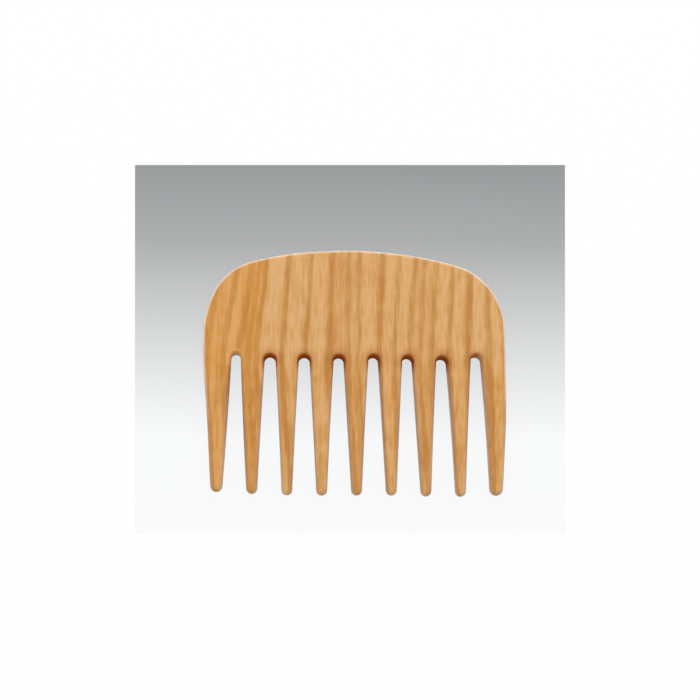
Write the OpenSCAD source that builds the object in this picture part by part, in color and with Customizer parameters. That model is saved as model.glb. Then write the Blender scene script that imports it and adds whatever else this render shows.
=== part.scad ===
// Wide-tooth afro comb, sawn from one board of ash and rounded over on every edge.
// It lies flat on its underside: X runs across the teeth, Y from the tips up to the arched back,
// and Z is the thickness of the board. The origin is under the middle of the whole comb.

/* [Board] */
// Overall width of the comb, across the shoulders
comb_w = 100; // [94:0.5:112]
// Thickness of the board at the back
board_t = 6.5; // [5:0.25:9]
// Radius that rounds over the long edges of the back and of the gullets
edge_r = 1.5; // [0.8:0.1:2]

/* [Back] */
// Height of the back, from the top of a gullet to the top of the arch
back_h = 36; // [30:0.2:46]
// Radius of the long arch along the top
arch_r = 130; // [100:5:220]
// Radius of the two shoulders
shoulder_r = 21.6; // [14:0.4:24]
// Radius of the long bow down each side, from the shoulder to the last tip
side_r = 562; // [400:2:1200]

/* [Teeth] */
// Number of teeth
teeth = 9; // [7:1:10]
// Length of a tooth, from the top of a gullet to the tip
tooth_l = 46.1; // [36:0.1:54]
// Width of a gullet between the roots of two teeth
gullet_w = 3.15; // [2.4:0.05:4]
// Width of an end tooth at its root, from the side of the comb to the gullet
end_tooth_w = 8.85; // [8:0.05:10]
// Width of an inner tooth where its tip starts to round off
tip_w = 3.75; // [3:0.05:4.5]
// Thickness of every tooth where its tip starts to round off
tip_t = 4; // [3.2:0.1:5.5]
// How softly the faces of the teeth fall away from the back: 1 is a plain wedge
face_ease = 1.4; // [1:0.1:2]

/* [Hidden] */

// How far a cut runs past the face that it opens
overrun = edge_r;

// Lines across the comb, from the tips to the top
comb_h = back_h + tooth_l;
tip_y = -comb_h / 2;
apex_y = comb_h / 2;
dome_y = tip_y + tip_w / 2;
gullet_r = gullet_w / 2;
root_y = tip_y + tooth_l - gullet_r;

// Centres of the arcs of the outline: each arc runs on from the one before it without a corner
shoulder_x = comb_w / 2 - shoulder_r;
arch_y = apex_y - arch_r;
shoulder_y = arch_y + sqrt(pow(arch_r - shoulder_r, 2) - pow(shoulder_x, 2));
arch_a = asin(shoulder_x / (arch_r - shoulder_r));
side_x = comb_w / 2 - side_r;
side_a = asin((shoulder_y - tip_y) / side_r);

// Depth of the rim strip that the arcs turn, the same all round so that their ends meet
rim_d = shoulder_r;

// Spacing of the teeth, and the gap between two of them where the tips start to round off
pitch = (comb_w - 2 * end_tooth_w - gullet_w) / (teeth - 2);
tip_gap = pitch - tip_w;
tip_r = min(tip_w, tip_t) / 2;

// Steps of a tooth: along its shaft, round its tip, and round each corner of its section
shaft_steps = 8;
dome_steps = 6;
corner_steps = 6;

ash = [0.85, 0.66, 0.43];
$fa = 1.5;
$fs = edge_r / 6;

// Section of the rim: a strip as deep as a shoulder, rounded over along its outer edge
module rim_section(reach) {
    translate([reach - rim_d, 0]) square([rim_d - edge_r, board_t]);
    translate([reach - rim_d, edge_r]) square([rim_d, board_t - 2 * edge_r]);
    for (z = [edge_r, board_t - edge_r]) translate([reach - edge_r, z]) circle(edge_r);
}

// One arc of the rim, turned between two angles about its centre
module rim_arc(centre, radius, start_a, end_a) {
    translate(centre) rotate([0, 0, start_a])
        rotate_extrude(angle = end_a - start_a) rim_section(radius);
}

// The rim of the blank, arc after arc: the arch, and on each side a shoulder and a long bow
module rim() {
    rim_arc([0, arch_y], arch_r, 90 - arch_a, 90 + arch_a);
    for (side = [0, 1]) mirror([side, 0, 0]) {
        rim_arc([shoulder_x, shoulder_y], shoulder_r, 0, 90 - arch_a);
        rim_arc([side_x, shoulder_y], side_r, -side_a, 0);
    }
}

// The middle of the blank: its edges run inside the rim, midway through it
module core() {
    half_w = comb_w / 2 - rim_d / 2;
    right = [
        [half_w, root_y - overrun],
        [half_w, shoulder_y],
        [shoulder_x, shoulder_y + rim_d / 2]
    ];
    left = [for (k = [len(right) - 1 : -1 : 0]) [-right[k].x, right[k].y]];
    linear_extrude(board_t) polygon(concat(right, [[0, apex_y - rim_d / 2]], left));
}

// The arched blank of the back, cut off square at the root line of the teeth
module blank() {
    intersection() {
        union() {
            rim();
            core();
        }
        translate([-comb_w / 2 - overrun, root_y, -overrun])
            cube([comb_w + 2 * overrun, apex_y - root_y + overrun, board_t + 2 * overrun]);
    }
}

// Cutter for the round end of a gullet: it flares at both faces, which rounds the edge over
module gullet_cutter() {
    rotate_extrude() difference() {
        translate([0, -overrun]) square([gullet_r + edge_r, board_t + 2 * overrun]);
        translate([gullet_r + rim_d, 0]) mirror([1, 0]) rim_section(rim_d);
    }
}

// Middle line of the gap between tooth k and the next
function gap_x(k) = (k - teeth / 2) * pitch;

// How far along its shaft a tooth is at a given height: 0 at the root line, 1 where the tip starts
function shaft_share(y) = (root_y - y) / (root_y - dome_y);

// A size that runs from the root to the tip, evenly when ease is 1
function taper(root_size, tip_size, y, ease = 1) =
    root_size + (tip_size - root_size) * pow(shaft_share(y), ease);

// Edges of tooth i seen from above: the side bow outside the end teeth, and else half a gap
function half_gap(y) = taper(gullet_w, tip_gap, y) / 2;
function bow_x(y) = side_x + sqrt(pow(side_r, 2) - pow(shoulder_y - y, 2));
function left_x(i, y) = i == 1 ? -bow_x(y) : gap_x(i - 1) + half_gap(y);
function right_x(i, y) = i == teeth ? bow_x(y) : gap_x(i) - half_gap(y);

// Points round a rounded rectangle across the tooth, half_w by half_t about a middle line
function section(mid_x, y, half_w, half_t, r) = [
    for (corner = [0 : 3], step = [0 : corner_steps])
        let (
            a = 90 * (corner + step / corner_steps),
            sign_x = corner == 0 || corner == 3 ? 1 : -1,
            sign_z = corner < 2 ? 1 : -1
        )
        [
            mid_x + sign_x * (half_w - r) + r * cos(a),
            y,
            board_t / 2 + sign_z * (half_t - r) + r * sin(a)
        ]
];

// Section of tooth i at height y, shrunk by a factor that runs from 1 to 0 round the tip
function tooth_section(i, shape_y, y, shrink) =
    section(
        (left_x(i, shape_y) + right_x(i, shape_y)) / 2,
        y,
        shrink * (right_x(i, shape_y) - left_x(i, shape_y)) / 2,
        shrink * taper(board_t, tip_t, shape_y, face_ease) / 2,
        shrink * taper(edge_r, tip_r, shape_y)
    );

// A tooth: one skin drawn over sections that shrink from the root to a domed tip
module tooth(i) {
    shaft = [
        for (step = [0 : shaft_steps])
            let (y = root_y + (dome_y - root_y) * step / shaft_steps)
            tooth_section(i, y, y, 1)
    ];
    dome = [
        for (step = [1 : dome_steps - 1])
            let (a = 90 * step / dome_steps)
            tooth_section(i, dome_y, dome_y - (dome_y - tip_y) * sin(a), cos(a))
    ];
    rings = concat(shaft, dome);
    ring_size = len(rings[0]);
    tip = [(left_x(i, dome_y) + right_x(i, dome_y)) / 2, tip_y, board_t / 2];
    tip_index = len(rings) * ring_size;
    last_ring = tip_index - ring_size;
    skin = [
        for (ring = [0 : len(rings) - 2], k = [0 : ring_size - 1], half = [0, 1])
            let (
                a = ring * ring_size + k,
                b = ring * ring_size + (k + 1) % ring_size
            )
            half == 0 ? [a, b, b + ring_size] : [a, b + ring_size, a + ring_size]
    ];
    end = [for (k = [0 : ring_size - 1]) [last_ring + k, last_ring + (k + 1) % ring_size, tip_index]];
    root = [[for (k = [ring_size - 1 : -1 : 0]) k]];
    color(ash)
        polyhedron(points = concat([for (ring = rings) each ring], [tip]), faces = concat(root, skin, end));
}

// The back: the arched blank with the round end of every gullet cut into its lower edge
module back() {
    color(ash)
        difference() {
            blank();
            for (k = [1 : teeth - 1]) translate([gap_x(k), root_y]) gullet_cutter();
        }
}

back();
for (i = [1 : teeth]) tooth(i);
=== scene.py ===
import math

import bpy
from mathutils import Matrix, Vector


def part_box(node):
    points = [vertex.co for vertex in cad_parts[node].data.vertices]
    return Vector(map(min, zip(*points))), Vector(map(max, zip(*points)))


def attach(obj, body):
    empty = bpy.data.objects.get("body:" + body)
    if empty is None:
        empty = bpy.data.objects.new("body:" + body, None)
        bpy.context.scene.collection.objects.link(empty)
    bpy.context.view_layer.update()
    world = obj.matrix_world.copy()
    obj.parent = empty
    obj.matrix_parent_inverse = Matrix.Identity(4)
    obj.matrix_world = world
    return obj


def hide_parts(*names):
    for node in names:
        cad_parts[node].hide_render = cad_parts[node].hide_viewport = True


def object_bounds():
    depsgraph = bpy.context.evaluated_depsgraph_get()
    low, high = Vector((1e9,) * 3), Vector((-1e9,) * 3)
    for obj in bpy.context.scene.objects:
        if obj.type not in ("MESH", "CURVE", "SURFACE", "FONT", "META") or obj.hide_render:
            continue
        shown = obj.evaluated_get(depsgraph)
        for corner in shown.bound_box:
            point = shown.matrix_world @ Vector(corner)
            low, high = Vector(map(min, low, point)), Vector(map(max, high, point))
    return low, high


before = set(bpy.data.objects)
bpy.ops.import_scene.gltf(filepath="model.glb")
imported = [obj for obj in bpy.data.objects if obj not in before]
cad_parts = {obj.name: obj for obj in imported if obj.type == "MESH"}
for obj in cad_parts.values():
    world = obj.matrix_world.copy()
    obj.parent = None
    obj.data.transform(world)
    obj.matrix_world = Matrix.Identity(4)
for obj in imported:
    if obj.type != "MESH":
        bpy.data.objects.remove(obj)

cad_low, cad_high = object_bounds()


# Viewpoint
# The viewer looks almost straight down on the comb from about 40 cm away, a little towards the tips
# and a little to the left of its middle, through a slightly long lens.
mm = 0.001
photo_width = 700
focal_pixels = 1200
sensor_width = 36
viewer_spot = (-21.5 * mm, -81.7 * mm, 391.4 * mm)
viewer_turn = [math.radians(degrees) for degrees in (12.93, -2.97, -0.18)]
nearest_sight = 10 * mm

viewpoint = bpy.data.cameras.new("viewpoint")
viewpoint.sensor_width = sensor_width
viewpoint.lens = sensor_width * focal_pixels / photo_width
viewpoint.clip_start = nearest_sight
viewer = bpy.data.objects.new("viewer", viewpoint)
viewer.location = viewer_spot
viewer.rotation_mode = "ZXY"
viewer.rotation_euler = viewer_turn
bpy.context.scene.collection.objects.link(viewer)
bpy.context.scene.camera = viewer


# Comb, outline
# The comb is sawn by hand from one board of ash. Five arcs make its back, an arch, two shoulders and
# two long bows down the sides, and between the bows stand nine teeth that taper to round tips, with
# round gullets between them.
tooth_names = [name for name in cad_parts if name.startswith("tooth_")]
teeth = sorted(tooth_names, key=lambda name: int(name.removeprefix("tooth_")))
tooth_count = len(teeth)
middle_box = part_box(teeth[tooth_count // 2])
next_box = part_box(teeth[tooth_count // 2 + 1])
half_width = (cad_high.x - cad_low.x) / 2
root_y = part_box("back")[0].y
gullet_half = (next_box[0].x - middle_box[1].x) / 2
pitch = next_box[0].x - middle_box[0].x
tip_half = 1.875 * mm
dome_y = cad_low.y + tip_half
arch_radius = 130 * mm
shoulder_radius = 21.6 * mm
side_radius = 562 * mm
shoulder_x = half_width - shoulder_radius
arch_y = cad_high.y - arch_radius
shoulder_y = arch_y + math.sqrt((arch_radius - shoulder_radius) ** 2 - shoulder_x**2)
arch_angle = math.asin(shoulder_x / (arch_radius - shoulder_radius))
point_spacing = 1.1 * mm
round_spacing = 0.42 * mm

# The saw wandered a little, as it does by hand. The row of teeth sits right of the middle and closes
# up towards the tips, the sides lean after it, and the arch falls to the right. The first teeth came
# out shorter and all tips slimmer, the gaps differ in width, place and height, and some teeth have a
# slight belly.
row_shift = 0.61 * mm
tip_closing = 0.003
side_lean = 0.94 * mm
lean_top, lean_bottom = 14 * mm, -18 * mm
arch_fall = 0.0085
tip_slim = 0.09 * mm
tooth_trim = [trim * mm for trim in (1.34, 0.77, 0.33, 0.26, 0.33, 0.34, 0.06, 0, 0.34)]
gullet_shift = [shift * mm for shift in (0.84, 0.05, -0.03, -0.06, 0.17, -0.08, -0.3, 0.65)]
gullet_wide = [wide * mm for wide in (0.07, 0.25, 0.24, 0.12, 0.14, 0.13, 0.21, 0.28)]
gullet_aside = [aside * mm for aside in (-0.06, -0.18, -0.2, -0.12, 0.04, -0.03, 0.05, 0.28)]
left_belly = [belly * mm for belly in (0, -0.15, 0.1, 0, 0, 0, 0, 0.2, 0.25)]
right_belly = [belly * mm for belly in (0.12, -0.05, -0.05, -0.1, -0.1, -0.05, -0.1, -0.1, 0)]

# It left the drawn arcs too, so that the arch and the right side came out full and the left shoulder
# flat. Each pair is a direction from the middle of the root line, in degrees, and how far the outer
# edge stands out there, in millimetres.
saw_drift = (
    (-50, 0), (-42, 0), (-34, -0.12), (-18, -0.12), (-9, 0), (-2, 0.2), (6, 0.36), (14, 0.42), (21, 0.22),
    (30, 0.27), (40, 0.38), (60, 0.42), (75, 0.32), (90, 0.38), (105, 0.31), (120, 0.54), (138, 0.43),
    (148, 0.05), (155, -0.42), (159, -0.66), (163, -0.47), (168, -0.08), (175, 0.14), (182, 0.16), (191, 0),
    (200, -0.1), (208, -0.2), (215, -0.12), (221, 0), (230, 0),
)
quarter_turn, full_turn = 90, 360
side_strip, above_gullets = 6 * mm, 12 * mm


def smooth(share):
    """An even rise from 0 to 1, with its ends made soft."""
    return (3 - 2 * share) * share**2


def drifted(x, y):
    """How far the outer edge stands out from its arc, on a smooth curve through the saw's drift."""
    if abs(x) < half_width - side_strip and y < above_gullets:
        return 0
    angle = (math.degrees(math.atan2(y - root_y, x)) + quarter_turn) % full_turn - quarter_turn
    for before, start, end, after in zip(saw_drift, saw_drift[1:], saw_drift[2:], saw_drift[3:]):
        if start[0] <= angle < end[0]:
            reach = end[0] - start[0]
            share = (angle - start[0]) / reach
            start_slope = (end[1] - before[1]) / (end[0] - before[0]) * reach
            end_slope = (after[1] - start[1]) / (after[0] - start[0]) * reach
            bend = share * (1 - share) * (start_slope * (1 - share) - end_slope * share)
            return (start[1] + (end[1] - start[1]) * smooth(share) + bend) * mm
    return 0


def down_tooth(y):
    """How far down a tooth a height is, from 0 at the root to 1 where the tip starts to round off."""
    return (root_y - y) / (root_y - dome_y)


def gap_middle(gap, y):
    """Middle line of the gap that follows a tooth."""
    down = down_tooth(y)
    even = (gap + 1 - tooth_count / 2) * pitch * (1 - tip_closing * down)
    return even + row_shift + gullet_aside[gap] * (1 - down)


def gap_half(gap, y):
    """Half the width of a gap at a height on the comb."""
    top_half, bottom_half = gullet_half + gullet_wide[gap], pitch / 2 - tip_half + tip_slim
    return top_half + (bottom_half - top_half) * down_tooth(y)


def bow(y):
    """How far out the side of the comb is at a height."""
    return half_width - side_radius + math.sqrt(side_radius**2 - (shoulder_y - y) ** 2)


def flank(tooth, side, y):
    """Edge of a tooth, on its left (-1) or its right (1), with its belly fullest halfway down."""
    beside = tooth + (side - 1) // 2
    if 0 <= beside < tooth_count - 1:
        down = down_tooth(y)
        halfway = 0.5
        fullness = down * (1 - down) / halfway**2
        belly = (left_belly if side < 0 else right_belly)[tooth] * fullness
        return gap_middle(beside, y) - side * gap_half(beside, y) + belly
    fall = min(1, max(0, (lean_top - y) / (lean_top - lean_bottom)))
    return side * bow(y) + side_lean * smooth(fall)


def lean(tooth, side, y):
    """Angle at which an edge of a tooth draws in towards the tip."""
    rise = 0.5 * mm
    run = flank(tooth, side, y + rise) - flank(tooth, side, y - rise)
    return side * math.atan(run / (2 * rise))


def tip_circle(tooth):
    """Centre and radius of the circle that rounds a tip and runs into both edges."""
    tries = 8
    radius = tip_half
    for _ in range(tries):
        y = cad_low.y + tooth_trim[tooth] + radius
        half = (flank(tooth, 1, y) - flank(tooth, -1, y)) / 2
        radius = half * math.cos((lean(tooth, 1, y) + lean(tooth, -1, y)) / 2)
    return ((flank(tooth, 1, y) + flank(tooth, -1, y)) / 2, y), radius


def gullet_circle(gap):
    """Centre and radius of the round end of a gap, and the angle at which both edges run into it."""
    y = root_y + gullet_shift[gap] - gullet_wide[gap]
    slant = math.atan((gap_half(gap, dome_y) - gap_half(gap, root_y)) / (root_y - dome_y))
    return (gap_middle(gap, y), y), gap_half(gap, y) * math.cos(slant), slant


# Each point of the outline is kept with the direction that leads straight out of the wood there
outline = []


def arc(centre, radius, start, end, spacing, hollow=False):
    """Adds an arc, without its last point. A hollow one has its wood outside the circle."""
    steps = max(2, round(abs(end - start) * radius / spacing))
    way = -1 if hollow else 1
    for step in range(steps):
        angle = start + (end - start) * step / steps
        x, y = math.cos(angle), math.sin(angle)
        outline.append((centre[0] + radius * x, centre[1] + radius * y, way * x, way * y))


def edge(tooth, side, start_y, end_y):
    """Adds one edge of a tooth, without its last point."""
    steps = max(2, round(abs(end_y - start_y) / point_spacing))
    for step in range(steps):
        y = start_y + (end_y - start_y) * step / steps
        slant = lean(tooth, side, y)
        outline.append((flank(tooth, side, y), y, side * math.cos(slant), -math.sin(slant)))


# Down, round and up each tooth from the left, over each gullet, and back along the arch
tips = [tip_circle(tooth) for tooth in range(tooth_count)]
gullets = [gullet_circle(gap) for gap in range(tooth_count - 1)]
arch_start, arch_end = math.pi / 2 - arch_angle, math.pi / 2 + arch_angle
for tooth, (centre, radius) in enumerate(tips):
    left_lean, right_lean = lean(tooth, -1, centre[1]), lean(tooth, 1, centre[1])
    left_end = centre[1] - radius * math.sin(left_lean)
    right_end = centre[1] - radius * math.sin(right_lean)
    left_start = shoulder_y
    if tooth > 0:
        gullet, gullet_radius, slant = gullets[tooth - 1]
        left_start = gullet[1] + gullet_radius * math.sin(slant)
    edge(tooth, -1, left_start, left_end)
    arc(centre, radius, left_lean - math.pi, -right_lean, round_spacing)
    if tooth < tooth_count - 1:
        gullet, gullet_radius, slant = gullets[tooth]
        edge(tooth, 1, right_end, gullet[1] + gullet_radius * math.sin(slant))
        arc(gullet, gullet_radius, math.pi - slant, slant, round_spacing, hollow=True)
edge(tooth_count - 1, 1, right_end, shoulder_y)
arc((shoulder_x, shoulder_y), shoulder_radius, 0, arch_start, point_spacing)
arc((0, arch_y), arch_radius, arch_start, arch_end, point_spacing)
arc((-shoulder_x, shoulder_y), shoulder_radius, arch_end, math.pi, point_spacing)

sawn = []
for x, y, out_x, out_y in outline:
    fall = arch_fall * x * max(0, (y - root_y) / (cad_high.y - root_y))
    stand = drifted(x, y)
    sawn.append((x + stand * out_x, y - fall + stand * out_y, 0))
corners = len(outline)
outline_mesh = bpy.data.meshes.new("comb_outline")
outline_mesh.from_pydata(sawn, [(k, (k + 1) % corners) for k in range(corners)], [])
way_out = outline_mesh.attributes.new("way_out", "FLOAT_VECTOR", "POINT")
for point, (_, _, x, y) in zip(way_out.data, outline):
    point.vector = (x, y, 0)
comb = bpy.data.objects.new("comb", outline_mesh)
bpy.context.scene.collection.objects.link(comb)


# Comb, rounding
# The sawn board is rolled over along its whole outline on a sanding drum, and the faces of the
# teeth are ground down towards the tips. The tree follows the outline with a rounded rim and
# closes it with two faces, so that back and teeth are one unbroken skin, as in the wood.
def place(tree, kind, feeds=None, **settings):
    """Adds a node, with its settings and what feeds its sockets."""
    made = tree.nodes.new(kind)
    for name, value in settings.items():
        setattr(made, name, value)
    for socket, value in (feeds or {}).items():
        if isinstance(value, bpy.types.NodeSocket):
            tree.links.new(value, made.inputs[socket])
        else:
            made.inputs[socket].default_value = value
    return made


def reckon(tree, operation, first, second=0.0, third=0.0):
    """One sum on numbers."""
    feeds = {0: first, 1: second, 2: third}
    return place(tree, "ShaderNodeMath", feeds, operation=operation).outputs[0]


def reckon_vector(tree, operation, first, second):
    """One sum on places or directions."""
    if operation == "SCALE":
        feeds = {"Vector": first, "Scale": second}
    else:
        feeds = {0: first, 1: second}
    return place(tree, "ShaderNodeVectorMath", feeds, operation=operation).outputs[0]


rim_steps = 8
flat_rows = 2.0
waves_per_metre = 55.0
weld_reach = 0.001 * mm
sizes = {
    "Board thickness": cad_high.z,
    "Tip thickness": 4 * mm,
    "Edge radius": 1.5 * mm,
    "Tip edge radius": 1.6 * mm,
    "Root line": root_y,
    "Tip line": dome_y,
    "Face ease": 1.4,
    "Flat margin": 0.08 * mm,
    "Hand wander": 0.2,
}
rounding = bpy.data.node_groups.new("roll_over", "GeometryNodeTree")
rounding.interface.new_socket("Geometry", in_out="INPUT", socket_type="NodeSocketGeometry")
for name in sizes:
    rounding.interface.new_socket(name, in_out="INPUT", socket_type="NodeSocketFloat")
rounding.interface.new_socket("Rim steps", in_out="INPUT", socket_type="NodeSocketInt")
rounding.interface.new_socket("Wood", in_out="INPUT", socket_type="NodeSocketMaterial")
rounding.interface.new_socket("Geometry", in_out="OUTPUT", socket_type="NodeSocketGeometry")
given = rounding.nodes.new("NodeGroupInput").outputs


def sized(first, last, y, ease=1.0):
    """A size that runs from the root line to the tip line."""
    run = reckon(rounding, "SUBTRACT", given["Root line"], given["Tip line"])
    fall = reckon(rounding, "SUBTRACT", given["Root line"], y)
    share = place(rounding, "ShaderNodeClamp", {0: reckon(rounding, "DIVIDE", fall, run)}).outputs[0]
    bent = reckon(rounding, "POWER", share, ease)
    return reckon(rounding, "MULTIPLY_ADD", bent, reckon(rounding, "SUBTRACT", last, first), first)


def height_of(place_vector, sign, drop):
    """A place moved up or down to its height on the board, less how far the rim has dropped."""
    parts = place(rounding, "ShaderNodeSeparateXYZ", {0: place_vector}).outputs
    thick = sized(given["Board thickness"], given["Tip thickness"], parts[1], given["Face ease"])
    rise = reckon(rounding, "SUBTRACT", reckon(rounding, "MULTIPLY", thick, 0.5), drop)
    middle = reckon(rounding, "MULTIPLY", given["Board thickness"], 0.5)
    z = reckon(rounding, "MULTIPLY_ADD", rise, sign, middle)
    return place(rounding, "ShaderNodeCombineXYZ", {0: parts[0], 1: parts[1], 2: z}).outputs[0]


# Along the outline: where each point is, which way is out, and how big the rounding is there
path = place(rounding, "GeometryNodeMeshToCurve", {0: given["Geometry"]})
spot = rounding.nodes.new("GeometryNodeInputPosition").outputs[0]
outward = place(
    rounding, "GeometryNodeInputNamedAttribute", {"Name": "way_out"}, data_type="FLOAT_VECTOR"
).outputs[0]
wander_feeds = {"Vector": spot, "Scale": waves_per_metre, "Detail": 1.0}
wander = place(rounding, "ShaderNodeTexNoise", wander_feeds, noise_dimensions="3D")
spot_y = place(rounding, "ShaderNodeSeparateXYZ", {0: spot}).outputs[1]
wander_size = sized(given["Hand wander"], 0.0, spot_y)
wander_share = reckon(rounding, "SUBTRACT", wander.outputs["Fac"], 0.5)
wander_factor = reckon(rounding, "MULTIPLY_ADD", wander_share, wander_size, 1.0)
plain_radius = sized(given["Edge radius"], given["Tip edge radius"], spot_y)
kept = rounding.nodes.new("GeometryNodeCaptureAttribute")
kept.domain = "POINT"
for name, kind in (("spot", "VECTOR"), ("outward", "VECTOR"), ("radius", "FLOAT")):
    kept.capture_items.new(kind, name)
rounding.links.new(path.outputs[0], kept.inputs[0])
rounding.links.new(spot, kept.inputs["spot"])
rounding.links.new(outward, kept.inputs["outward"])
rounding.links.new(reckon(rounding, "MULTIPLY", plain_radius, wander_factor), kept.inputs["radius"])

# Across the rim: rows from the flat of one face, over the edge, to the flat of the other
rows = reckon(rounding, "MULTIPLY_ADD", given["Rim steps"], 2.0, 2.0 * flat_rows)
rib = place(rounding, "GeometryNodeMeshLine", {"Count": rows, "Offset": (0, 0, mm)})
rib_path = place(rounding, "GeometryNodeMeshToCurve", {0: rib.outputs[0]})
row_kept = rounding.nodes.new("GeometryNodeCaptureAttribute")
row_kept.domain = "POINT"
row_kept.capture_items.new("FLOAT", "row")
rounding.links.new(rib_path.outputs[0], row_kept.inputs[0])
rounding.links.new(rounding.nodes.new("GeometryNodeInputIndex").outputs[0], row_kept.inputs["row"])
rim = place(rounding, "GeometryNodeCurveToMesh", {0: kept.outputs[0], 1: row_kept.outputs[0]})
middle_row = reckon(rounding, "MULTIPLY", reckon(rounding, "SUBTRACT", rows, 1.0), 0.5)
from_middle = reckon(rounding, "SUBTRACT", middle_row, row_kept.outputs["row"])
face_side = reckon(rounding, "SIGN", from_middle)
rise_step = reckon(rounding, "SUBTRACT", reckon(rounding, "ABSOLUTE", from_middle), 0.5)
turned = reckon(rounding, "MINIMUM", reckon(rounding, "DIVIDE", rise_step, given["Rim steps"]), 1.0)
turn = reckon(rounding, "MULTIPLY", turned, math.pi / 2)
on_flat = reckon(rounding, "MAXIMUM", reckon(rounding, "SUBTRACT", rise_step, given["Rim steps"]), 0.0)
radius_here = kept.outputs["radius"]
rolled = reckon(rounding, "SUBTRACT", 1.0, reckon(rounding, "COSINE", turn))
flat_inset = reckon(rounding, "MULTIPLY", on_flat, given["Flat margin"])
inset = reckon(rounding, "MULTIPLY_ADD", rolled, radius_here, flat_inset)
fallen = reckon(rounding, "SUBTRACT", 1.0, reckon(rounding, "SINE", turn))
drop = reckon(rounding, "MULTIPLY", fallen, radius_here)
pulled_in = reckon_vector(rounding, "SCALE", kept.outputs["outward"], inset)
rim_spot = reckon_vector(rounding, "SUBTRACT", kept.outputs["spot"], pulled_in)
rim_feeds = {0: rim.outputs[0], "Position": height_of(rim_spot, face_side, drop)}
rim_skin = place(rounding, "GeometryNodeSetPosition", rim_feeds)

# The two faces: the outline drawn in past the rounding, filled, and set at the height of each face
face_inset = reckon(rounding, "ADD", radius_here, given["Flat margin"])
face_pull = reckon_vector(rounding, "SCALE", kept.outputs["outward"], face_inset)
face_spot = reckon_vector(rounding, "SUBTRACT", kept.outputs["spot"], face_pull)
face_path = place(rounding, "GeometryNodeSetPosition", {0: kept.outputs[0], "Position": face_spot})
face = place(rounding, "GeometryNodeFillCurve", {0: face_path.outputs[0]}, mode="TRIANGLES")
upper_feeds = {0: face.outputs[0], "Position": height_of(spot, 1.0, 0.0)}
upper = place(rounding, "GeometryNodeSetPosition", upper_feeds)
lower_feeds = {0: face.outputs[0], "Position": height_of(spot, -1.0, 0.0)}
lower = place(rounding, "GeometryNodeSetPosition", lower_feeds)
lower_out = place(rounding, "GeometryNodeFlipFaces", {0: lower.outputs[0]})
joined = rounding.nodes.new("GeometryNodeJoinGeometry")
for skin in (rim_skin, upper, lower_out):
    rounding.links.new(skin.outputs[0], joined.inputs[0])
welded = place(rounding, "GeometryNodeMergeByDistance", {0: joined.outputs[0], "Distance": weld_reach})
soft = place(rounding, "GeometryNodeSetShadeSmooth", {0: welded.outputs[0]})
realized = place(rounding, "GeometryNodeRealizeInstances", {0: soft.outputs[0]})
finished_feeds = {0: realized.outputs[0], "Material": given["Wood"]}
finished = place(rounding, "GeometryNodeSetMaterial", finished_feeds)
result = rounding.nodes.new("NodeGroupOutput")
rounding.links.new(finished.outputs[0], result.inputs[0])


# Comb, wood
# Pale ring-porous ash, rubbed with oil. Its growth rings run through the board along the teeth and
# show as dark porous lines between pale bands, which bow to the left down the back.
def shade(red, green, blue):
    """A colour as the eye reads it on a screen, from 0 to 255, made linear by the standard curve."""
    parts = [part / 255 for part in (red, green, blue)]
    return [p / 12.92 if p <= 0.04045 else ((p + 0.055) / 1.055) ** 2.4 for p in parts] + [1.0]


oil_ior = 1.45
wood = bpy.data.materials.new("oiled_ash")
wood.use_nodes = True
grain = wood.node_tree
finish = grain.nodes["Principled BSDF"]
finish.inputs["IOR"].default_value = oil_ior

# Places on the board in millimetres, and every length in this material with them
object_spot = grain.nodes.new("ShaderNodeTexCoord").outputs["Object"]
to_mm = {0: object_spot, "Scale": (1 / mm, 1 / mm, 1 / mm)}
board_spot = place(grain, "ShaderNodeMapping", to_mm).outputs[0]
board_x, board_y, board_z = place(grain, "ShaderNodeSeparateXYZ", {0: board_spot}).outputs
root_height = root_y / mm
half_board = half_width / mm


def streak(across, lengthwise, detail, roughness, seed):
    """Noise drawn out along the grain, with so many waves a millimetre across and along it."""
    stretch = {0: board_spot, "Location": (seed, seed, 0), "Scale": (across, lengthwise, across)}
    stretched = place(grain, "ShaderNodeMapping", stretch).outputs[0]
    feeds = {"Vector": stretched, "Scale": 1.0, "Detail": detail, "Roughness": roughness}
    noise = place(grain, "ShaderNodeTexNoise", feeds).outputs["Fac"]
    return reckon(grain, "SUBTRACT", noise, 0.5)


def eased(value, low, high, out_low=0.0, out_high=1.0):
    """A value turned smoothly from one range to another, which is a share from 0 to 1 if not given."""
    feeds = {0: value, 1: low, 2: high, 3: out_low, 4: out_high}
    return place(grain, "ShaderNodeMapRange", feeds, interpolation_type="SMOOTHSTEP").outputs[0]


# The growth rings, given at one height on the back: the place across the board of each dark
# line of early wood, how pale that line is, and how pale the band to its right is. A line fades in
# over its soft side and ends within its sharp side, and the palest lines are the narrowest.
ring_height = 20
rings = (
    (-46.5, 0.26, 0.85), (-40.7, 0.26, 0.98), (-35.5, 0.22, 0.62), (-33.2, 0.38, 0.62), (-30.6, 0.26, 0.93),
    (-22.7, 0.32, 0.95), (-15.1, 0.35, 0.88), (-7.6, 0.17, 0.64), (-1.8, 0.32, 0.64), (1.7, 0.42, 0.95),
    (8.9, 0.20, 0.90), (14.2, 0.35, 0.92), (19.4, 0.32, 0.77), (22.8, 0.36, 0.78), (26.7, 0.30, 0.92),
    (32.4, 0.29, 0.90), (38.4, 0.18, 0.98), (44.9, 0.20, 0.98), (49.3, 0.40, 0.80),
)
soft_side, sharp_side = 2.8, 1.7
narrowing = 1.5
first_pale, last_pale = 0.6, 0.8
foot_share = 0.93
ring_start, ring_end = -56.0, 56.0

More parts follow.
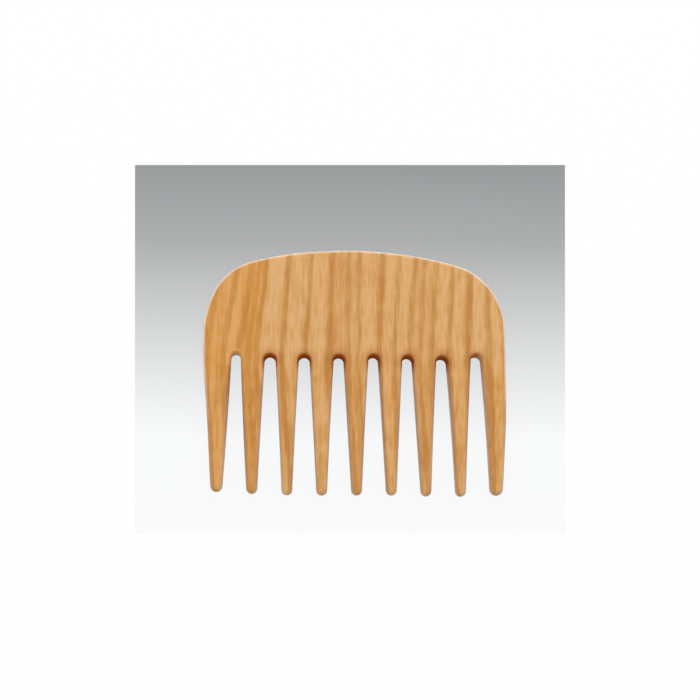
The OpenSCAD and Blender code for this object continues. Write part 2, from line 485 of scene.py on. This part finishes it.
# How far a line moves sideways for each millimetre up the back, and back again down the teeth, at
# some places across the board. The first lean ends at a height counted from that of the rings, and
# the second starts at a height on the board.
back_leans = (
    (-50, 0.12), (-38, 0.14), (-30, 0.08), (-15, 0.07), (-1, 0.015), (8, 0.05), (40, 0.05), (46, -0.02),
)
teeth_leans = (
    (-50, 0.06), (-34, 0.06), (-22, 0.06), (-10, 0.06), (1, 0.06), (12, 0.03), (23, 0.04), (34, 0.03),
    (45, -0.02),
)
back_lean_end, teeth_lean_start = -14.0, 0.0
lean_softness = 8.0


def across_share(x):
    """Where a place across the board is, from 0 at the start of the rings to 1 at their end."""
    return (x - ring_start) / (ring_end - ring_start)


def lean_here(leans):
    """The lean of a line, from those known across the board, which are lifted to fit on a curve."""
    lift = 0.5
    lean_curve = place(grain, "ShaderNodeFloatCurve", {1: lean_share})
    lean_line = lean_curve.mapping.curves[0]
    lean_line.points[0].location = (0, lift + leans[0][1])
    lean_line.points[1].location = (1, lift + leans[-1][1])
    for x, amount in leans:
        lean_line.points.new(across_share(x), lift + amount)
    lean_curve.mapping.update()
    return reckon(grain, "SUBTRACT", lean_curve.outputs[0], lift)


lean_share = reckon(grain, "MULTIPLY_ADD", board_x, 1 / (ring_end - ring_start), across_share(0))
above_rings = reckon(grain, "SUBTRACT", board_y, ring_height)
up_back = reckon(grain, "SMOOTH_MAX", above_rings, back_lean_end, lean_softness)
down_teeth = reckon(grain, "SMOOTH_MIN", board_y, teeth_lean_start, lean_softness)
back_again = reckon(grain, "MULTIPLY", lean_here(teeth_leans), down_teeth)
shifted = reckon(grain, "SUBTRACT", reckon(grain, "MULTIPLY", lean_here(back_leans), up_back), back_again)

# The lines also drift and wobble, and the rings stand askew in the thickness of the board
wobble_reach, ring_slope = 1.2, 0.55
drift = streak(across=0.035, lengthwise=0.014, detail=1, roughness=0.5, seed=7)
wobble_wave = streak(across=0.4, lengthwise=0.06, detail=2, roughness=0.5, seed=3)
wobble = reckon(grain, "MULTIPLY", wobble_wave, wobble_reach)
depth_down = reckon(grain, "SUBTRACT", board_z, cad_high.z / mm)
through = reckon(grain, "MULTIPLY", depth_down, ring_slope)
upright = reckon(grain, "SUBTRACT", board_x, shifted)
ring_x = reckon(grain, "ADD", reckon(grain, "ADD", upright, drift), reckon(grain, "ADD", wobble, through))
ring_place = reckon(grain, "DIVIDE", reckon(grain, "SUBTRACT", ring_x, ring_start), ring_end - ring_start)
ring_curve = place(grain, "ShaderNodeFloatCurve", {1: ring_place})
curve = ring_curve.mapping.curves[0]
curve.points[0].location = (0, first_pale)
curve.points[1].location = (1, last_pale)
edge_before, pale_before = ring_start, first_pale
for line, dark, pale in rings:
    width = (1 - dark) ** narrowing
    foot = line - soft_side * width
    if foot > edge_before:
        curve.points.new(across_share(foot), foot_share * pale_before)
    curve.points.new(across_share(line), dark)
    edge_before, pale_before = line + sharp_side * width, pale
    curve.points.new(across_share(edge_before), pale)
ring_curve.mapping.update()
ring_tone = ring_curve.outputs[0]

# Streaks within the bands, clouds, fibres, and the short pores of the dark lines
early_tones, pore_edges = (0.6, 0.2), (0.1, 0.22)
early = eased(ring_tone, *early_tones)
broad = streak(across=0.7, lengthwise=0.02, detail=2, roughness=0.5, seed=11)
mottle = streak(across=0.22, lengthwise=0.06, detail=2, roughness=0.5, seed=31)
cloud = streak(across=0.4, lengthwise=0.25, detail=1, roughness=0.5, seed=23)
short = streak(across=1.5, lengthwise=0.12, detail=2, roughness=0.5, seed=13)
fine = streak(across=4.0, lengthwise=0.12, detail=3, roughness=0.6, seed=5)
pores = eased(streak(across=7.0, lengthwise=0.3, detail=1, roughness=0.5, seed=17), *pore_edges)
pores_here = reckon(grain, "MULTIPLY", pores, early)
ring_strength, ring_offset = 0.93, -0.74
streak_shares = (
    (broad, 0.7), (mottle, 0.7), (cloud, 0.6), (short, 1.2), (fine, 0.55), (pores_here, -0.2),
)
figure = reckon(grain, "MULTIPLY_ADD", ring_tone, ring_strength, ring_offset)
for streaks, share in streak_shares:
    figure = reckon(grain, "MULTIPLY_ADD", streaks, share, figure)

# The teeth are handled and oiled the most, and are a shade deeper than the back and more marked. The
# line in the third tooth is the broadest and darkest of all. Here and below, brackets hold where a
# mark starts and where it is full, and some also how strong it is at the one and at the other.
handled_heights = (root_height + 4.0, root_height - 10.0)
handled_contrast, handled_depth = 0.3, -0.07
board_depth = 0.74
deep_place, deep_edges = -22.2, (1.8, 0.5)
deep_strength = -0.25
handled = eased(board_y, *handled_heights)
from_deep = reckon(grain, "ABSOLUTE", reckon(grain, "SUBTRACT", ring_x, deep_place))
deep_line = reckon(grain, "MULTIPLY", eased(from_deep, *deep_edges), handled)
figure = reckon(grain, "MULTIPLY_ADD", deep_line, deep_strength, figure)
strength = reckon(grain, "MULTIPLY_ADD", handled, handled_contrast, 1.0)
depth = reckon(grain, "MULTIPLY_ADD", handled, handled_depth, board_depth)
tone = reckon(grain, "MULTIPLY_ADD", figure, strength, depth)
wood_tones = (
    (0.0, shade(192, 130, 61)),
    (0.33, shade(203, 145, 76)),
    (0.66, shade(214, 160, 93)),
    (1.0, shade(225, 174, 115)),
)
heart_tones = ((0.0, shade(197, 129, 50)), (0.5, shade(211, 147, 69)), (1.0, shade(224, 166, 95)))


def tinted(tree, value, tones):
    """The colour that a value has on a scale of tones, each with its place from 0 to 1."""
    ramp = place(tree, "ShaderNodeValToRGB", {0: value})
    first, last = ramp.color_ramp.elements
    first.position, first.color = tones[0]
    last.position, last.color = tones[-1]
    for position, tint in tones[1:-1]:
        ramp.color_ramp.elements.new(position).color = tint
    return ramp.outputs[0]


def coat(under, share, tint, blend="MIX"):
    """Lays one colour over another where a share says so."""
    feeds = {"Factor": share, 6: under, 7: tint}
    return place(grain, "ShaderNodeMix", feeds, data_type="RGBA", blend_type=blend).outputs[2]


# The left fifth of the board is the deeper, more orange heart side, and oil warms the teeth too
heart_edges, oil_warmth = (-29.6, -31.0), 0.5
warmed = reckon(grain, "MULTIPLY", handled, oil_warmth)
heart = reckon(grain, "MAXIMUM", eased(ring_x, *heart_edges), warmed)
plain = coat(tinted(grain, tone, wood_tones), heart, tinted(grain, tone, heart_tones))

# Which way the skin faces, and where the outer sides and the back are
inner_edges = (half_board - 5.0, half_board - 6.0)
upper_side_heights = (-20.0, 4.0)
back_heights = (root_height + 6.0, root_height + 9.0)
normal = grain.nodes.new("ShaderNodeTexCoord").outputs["Normal"]
normal_x, normal_y, normal_z = place(grain, "ShaderNodeSeparateXYZ", {0: normal}).outputs
flatness = reckon(grain, "ABSOLUTE", normal_z)
sideways = reckon_vector(grain, "MULTIPLY", normal, (1, 1, 0))
tilt = place(grain, "ShaderNodeVectorMath", {0: sideways}, operation="LENGTH").outputs["Value"]
inner_side = eased(reckon(grain, "ABSOLUTE", board_x), *inner_edges)
outer_side = reckon(grain, "SUBTRACT", 1.0, inner_side)
upper_side = reckon(grain, "MULTIPLY", outer_side, eased(board_y, *upper_side_heights))
on_back = reckon(grain, "MAXIMUM", upper_side, eased(board_y, *back_heights))

# Painted highlight: the rolled edge of the back is painted pale, a little unevenly, where the window
# light beyond the arch catches it
roll_tilts, wall_tilts = (0.3, 0.85), (1.0, 0.85, 0.3, 1.0)
patch_strength, patch_level = 0.9, 0.97
highlight_tint = (0.78, 0.64, 0.56, 1)
rolled_edge = reckon(grain, "MULTIPLY", eased(tilt, *roll_tilts), eased(tilt, *wall_tilts))
patchy = reckon(grain, "MULTIPLY_ADD", cloud, patch_strength, patch_level)
painted_highlight = reckon(grain, "MULTIPLY", reckon(grain, "MULTIPLY", rolled_edge, patchy), on_back)
highlighted_edge = coat(plain, painted_highlight, highlight_tint, "SCREEN")

# The first gullet is cut clean, and its crown is painted lighter and more orange: painted light on a
# wall that faces away from the window
first_gullet_edges = (-36.0, -37.0, 0.0, 0.5)
crown_start = (root_height, root_height + 1.5)
crown_end = (root_height + 6.0, root_height + 4.0)
crown_tilts = (0.05, 0.5)
first_crown_light_tint = shade(255, 194, 125)
first_gullet = reckon(grain, "MULTIPLY", eased(board_x, *first_gullet_edges), inner_side)
crown_height = reckon(grain, "MULTIPLY", eased(board_y, *crown_start), eased(board_y, *crown_end))
crown_mask = reckon(grain, "MULTIPLY", crown_height, eased(tilt, *crown_tilts))
first_crown_light = reckon(grain, "MULTIPLY", first_gullet, crown_mask)
painted_light_edges = coat(highlighted_edge, first_crown_light, first_crown_light_tint)

# The edges of the teeth are painted greyer and paler as a painted sheen, more on their right, and the
# upper sides are not
sheen_sides = (-0.3, 0.5, 0.28, 0.42)
teeth_heights = (root_height + 1.0, root_height - 12.0)
upper_side_sheen = -0.42
sheen_tint = shade(180, 170, 158)
on_teeth = reckon(grain, "MULTIPLY", eased(board_y, *teeth_heights), eased(normal_x, *sheen_sides))
sheen_here = reckon(grain, "MULTIPLY_ADD", upper_side, upper_side_sheen, on_teeth)
sheened_edge = coat(painted_light_edges, reckon(grain, "MULTIPLY", tilt, sheen_here), sheen_tint)

# The end grain of the tips and the arch drinks more oil
tip_facing, arch_facing, arch_tilts = (0.35, 1.0), (0.3, 1.0), (0.95, 0.995)
oil_tint = (0.80, 0.76, 0.72, 1)
tip_ends = eased(reckon(grain, "MULTIPLY", normal_y, -1.0), *tip_facing)
arch_end = reckon(grain, "MULTIPLY", eased(normal_y, *arch_facing), eased(tilt, *arch_tilts))
oiled = coat(sheened_edge, reckon(grain, "MAXIMUM", tip_ends, arch_end), oil_tint, "MULTIPLY")

# The wood around the gullets is darkened, partly toasted by the saw and partly painted shade of the
# recesses, not at the first one and less at the last one
darkened_from, darkened_to = (-36.5, -33.0), (37.5, 34.5, 0.6, 1.0)
toast_and_shade_reach, toast_and_shade_heights = (5.6, 2.0), (root_height - 5.0, root_height)
toast_and_shade_tint = (0.86, 0.74, 0.62, 1)
darkened_gaps = reckon(grain, "MULTIPLY", eased(board_x, *darkened_from), eased(board_x, *darkened_to))
in_row = reckon(grain, "SUBTRACT", board_x, row_shift / mm)
from_gullet = reckon(grain, "FRACT", reckon(grain, "DIVIDE", in_row, pitch / mm))
aside = reckon(grain, "MULTIPLY", reckon(grain, "SUBTRACT", from_gullet, 0.5), pitch / mm)
upward = reckon(grain, "MAXIMUM", reckon(grain, "SUBTRACT", board_y, root_height), 0.0)
reach_out = place(grain, "ShaderNodeCombineXYZ", {0: aside, 1: upward}).outputs[0]
away = place(grain, "ShaderNodeVectorMath", {0: reach_out}, operation="LENGTH").outputs["Value"]
toast_and_shade_mask = reckon(grain, "MULTIPLY", eased(away, *toast_and_shade_reach), eased(board_y, *toast_and_shade_heights))
toast_and_shade_here = reckon(grain, "MULTIPLY", reckon(grain, "MULTIPLY", toast_and_shade_mask, inner_side), darkened_gaps)
with_toast_and_shade = coat(oiled, toast_and_shade_here, toast_and_shade_tint, "MULTIPLY")

# The inside of the gullets is painted dark red-brown, partly scorched by the saw and partly painted
# shade on the walls that face down into the gaps, but only the left wall of the first one and the left
# half of the last one
above_heights = (root_height + 4.6, root_height + 2.3)
beneath_heights = (root_height - 5.0, root_height + 0.5)
last_gullet_edges, wall_flatness = (41.8, 40.6), (0.98, 0.6)
first_wall_edges, wall_facing = (-39.6, -40.4), (0.2, 0.7)
wall_top, wall_bottom = (2.5, 0.5), (-12.0, -6.0, 0.0, 0.5)
scorch_and_shade_tint = shade(161, 82, 28)
crowns = reckon(grain, "MULTIPLY", eased(board_y, *above_heights), eased(board_y, *beneath_heights))
in_gullet = reckon(grain, "MULTIPLY", crowns, inner_side)
darkened_here = reckon(grain, "MULTIPLY", darkened_gaps, eased(board_x, *last_gullet_edges))
off_face = reckon(grain, "MULTIPLY", eased(flatness, *wall_flatness), darkened_here)
first_wall = reckon(grain, "MULTIPLY", eased(board_x, *first_wall_edges), eased(normal_x, *wall_facing))
wall_height = reckon(grain, "MULTIPLY", eased(board_y, *wall_top), eased(board_y, *wall_bottom))
wall_burn_and_shade = reckon(grain, "MULTIPLY", first_wall, wall_height)
scorch_and_shade = reckon(grain, "MAXIMUM", reckon(grain, "MULTIPLY", in_gullet, off_face), wall_burn_and_shade)
grain.links.new(coat(with_toast_and_shade, scorch_and_shade, scorch_and_shade_tint), finish.inputs["Base Color"])

# Oil leaves a satin face. It is duller in the pores and where the gullets are scorched and painted with
# shade, with less sheen there and at the painted light of the first gullet, and the pores lie a little
# lower than the fibres
satin = 0.46
fibre_dull, pore_dull, scorch_and_shade_dull = 0.2, 0.15, 0.3
gloss, gloss_loss = 0.42, -0.4
fibre_relief, pore_relief = 0.5, -1.0
relief_strength = 0.2
relief_height = 0.05 * mm
fibre_sheen = reckon(grain, "MULTIPLY_ADD", fine, fibre_dull, satin)
dull = reckon(grain, "MULTIPLY_ADD", pores_here, pore_dull, fibre_sheen)
grain.links.new(reckon(grain, "MULTIPLY_ADD", scorch_and_shade, scorch_and_shade_dull, dull), finish.inputs["Roughness"])
matt = reckon(grain, "MAXIMUM", scorch_and_shade, first_crown_light)
sheen = reckon(grain, "MULTIPLY_ADD", matt, gloss_loss, gloss)
grain.links.new(sheen, finish.inputs["Specular IOR Level"])
fibres = reckon(grain, "MULTIPLY", fine, fibre_relief)
relief = reckon(grain, "MULTIPLY_ADD", pores_here, pore_relief, fibres)
bump_feeds = {"Strength": relief_strength, "Distance": relief_height, "Height": relief}
bump = place(grain, "ShaderNodeBump", bump_feeds)
grain.links.new(bump.outputs[0], finish.inputs["Normal"])

# The rounding is run on the outline once, and the comb keeps the mesh that comes out
shaping = comb.modifiers.new("roll_over", "NODES")
shaping.node_group = rounding
sockets = {item.name: item.identifier for item in rounding.interface.items_tree if item.in_out == "INPUT"}
for name, size in sizes.items():
    shaping[sockets[name]] = float(size)
shaping[sockets["Rim steps"]] = rim_steps
shaping[sockets["Wood"]] = wood
bpy.context.view_layer.update()
shaped = bpy.data.meshes.new_from_object(comb.evaluated_get(bpy.context.evaluated_depsgraph_get()))
shaped.materials.clear()
shaped.materials.append(wood)
comb.modifiers.clear()
comb.data = shaped
shaped.name = "comb"
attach(comb, "root")
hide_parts("back", *teeth)


# Card and bench
# The comb lies on a studio card, printed grey at the far side and white near the viewer, and the card
# lies on a plain white bench. Both are matt, and glow only where they are looked at or mirrored.
glow_share = 0.93


def backdrop_paint(name, tone_of):
    """A matt paint, with its colour, or the nodes that give it, from a function."""
    made = bpy.data.materials.new(name)
    made.use_nodes = True
    tree = made.node_tree
    tree.nodes.clear()
    tint = tone_of(tree)
    skin = place(tree, "ShaderNodeBsdfDiffuse", {"Color": tint})
    glow = place(tree, "ShaderNodeEmission", {"Color": tint, "Strength": 1.0})
    ray = tree.nodes.new("ShaderNodeLightPath").outputs
    mirrored = reckon(tree, "MAXIMUM", ray["Is Glossy Ray"], ray["Is Transmission Ray"])
    looked_at = reckon(tree, "MAXIMUM", ray["Is Camera Ray"], mirrored)
    glowing = reckon(tree, "MULTIPLY", looked_at, glow_share)
    mix = place(tree, "ShaderNodeMixShader", {0: glowing, 1: skin.outputs[0], 2: glow.outputs[0]})
    place(tree, "ShaderNodeOutputMaterial", {"Surface": mix.outputs[0]})
    return made


def flat_piece(name, spots, material):
    """A flat piece of the backdrop, from its corners."""
    mesh = bpy.data.meshes.new(name)
    mesh.from_pydata(spots, [], [tuple(range(len(spots)))])
    mesh.materials.append(material)
    made = bpy.data.objects.new(name, mesh)
    bpy.context.scene.collection.objects.link(made)


# The print of the card, from near to far along it
card_tones = (
    (-130 * mm, shade(250, 251, 252)),
    (-22 * mm, shade(249, 251, 252)),
    (-10 * mm, shade(239, 241, 243)),
    (0 * mm, shade(229, 231, 233)),
    (22 * mm, shade(204, 206, 208)),
    (46 * mm, shade(173, 175, 177)),
    (76 * mm, shade(152, 154, 156)),
    (120 * mm, shade(147, 149, 151)),
)
card_near, card_far = card_tones[0][0], card_tones[-1][0]


def card_tone(tree):
    """The colour of the card, which fades along it."""
    card_spot = tree.nodes.new("ShaderNodeTexCoord").outputs["Object"]
    card_y = place(tree, "ShaderNodeSeparateXYZ", {0: card_spot}).outputs[1]
    feeds = {0: card_y, 1: card_near, 2: card_far, 3: 0.0, 4: 1.0}
    along = place(tree, "ShaderNodeMapRange", feeds).outputs[0]
    tones = [((y - card_near) / (card_far - card_near), tint) for y, tint in card_tones]
    return tinted(tree, along, tones)


# The card's edges are chosen as pixels of the viewer's picture, and laid down from there
card_z, bench_z = -0.02 * mm, -0.3 * mm
bench_reach = 1.5
card_left, card_right, card_top, card_bottom = 135, 565, 165, 534
square_corners = ((-1, -1), (1, -1), (1, 1), (-1, 1))


def on_card(pixel_x, pixel_y):
    """The place on the card that the viewer sees at a pixel."""
    aim = Vector((pixel_x - photo_width / 2, photo_width / 2 - pixel_y, -focal_pixels))
    ray = viewer.matrix_basis.to_3x3() @ aim
    return viewer.location + ray * ((card_z - viewer.location.z) / ray.z)


card_corners = [
    on_card(card_left, card_bottom),
    on_card(card_right, card_bottom),
    on_card(card_right, card_top),
    on_card(card_left, card_top),
]
bench_corners = [(x * bench_reach, y * bench_reach, bench_z) for x, y in square_corners]
flat_piece("card", card_corners, backdrop_paint("card_print", card_tone))
flat_piece("bench", bench_corners, backdrop_paint("bench_paint", lambda tree: shade(255, 255, 255)))


# Daylight
# A large soft window light stands beyond the arch of the comb, a weaker one fills from the viewer's
# left, and the pale room around gives the rest.
sky_strength = 0.735


def softbox(name, spot, width, height, watts):
    """A lamp with a large face, turned to the middle of the comb."""
    lamp = bpy.data.lights.new(name, "AREA")
    lamp.shape = "RECTANGLE"
    lamp.size, lamp.size_y, lamp.energy = width, height, watts
    holder = bpy.data.objects.new(name, lamp)
    holder.location = spot
    holder.rotation_euler = (-Vector(spot)).to_track_quat("-Z", "Y").to_euler()
    bpy.context.scene.collection.objects.link(holder)


softbox("window", spot=(0.1, 0.85, 0.6), width=1.0, height=0.5, watts=4.5)
softbox("fill", spot=(-0.5, -0.8, 0.8), width=0.7, height=0.7, watts=1.0)
room = bpy.data.worlds.new("room")
room.use_nodes = True
sky = room.node_tree.nodes["Background"]
sky.inputs["Color"].default_value = (1, 1, 1, 1)
sky.inputs["Strength"].default_value = sky_strength
bpy.context.scene.world = room
bpy.context.scene.view_settings.view_transform = "Standard"
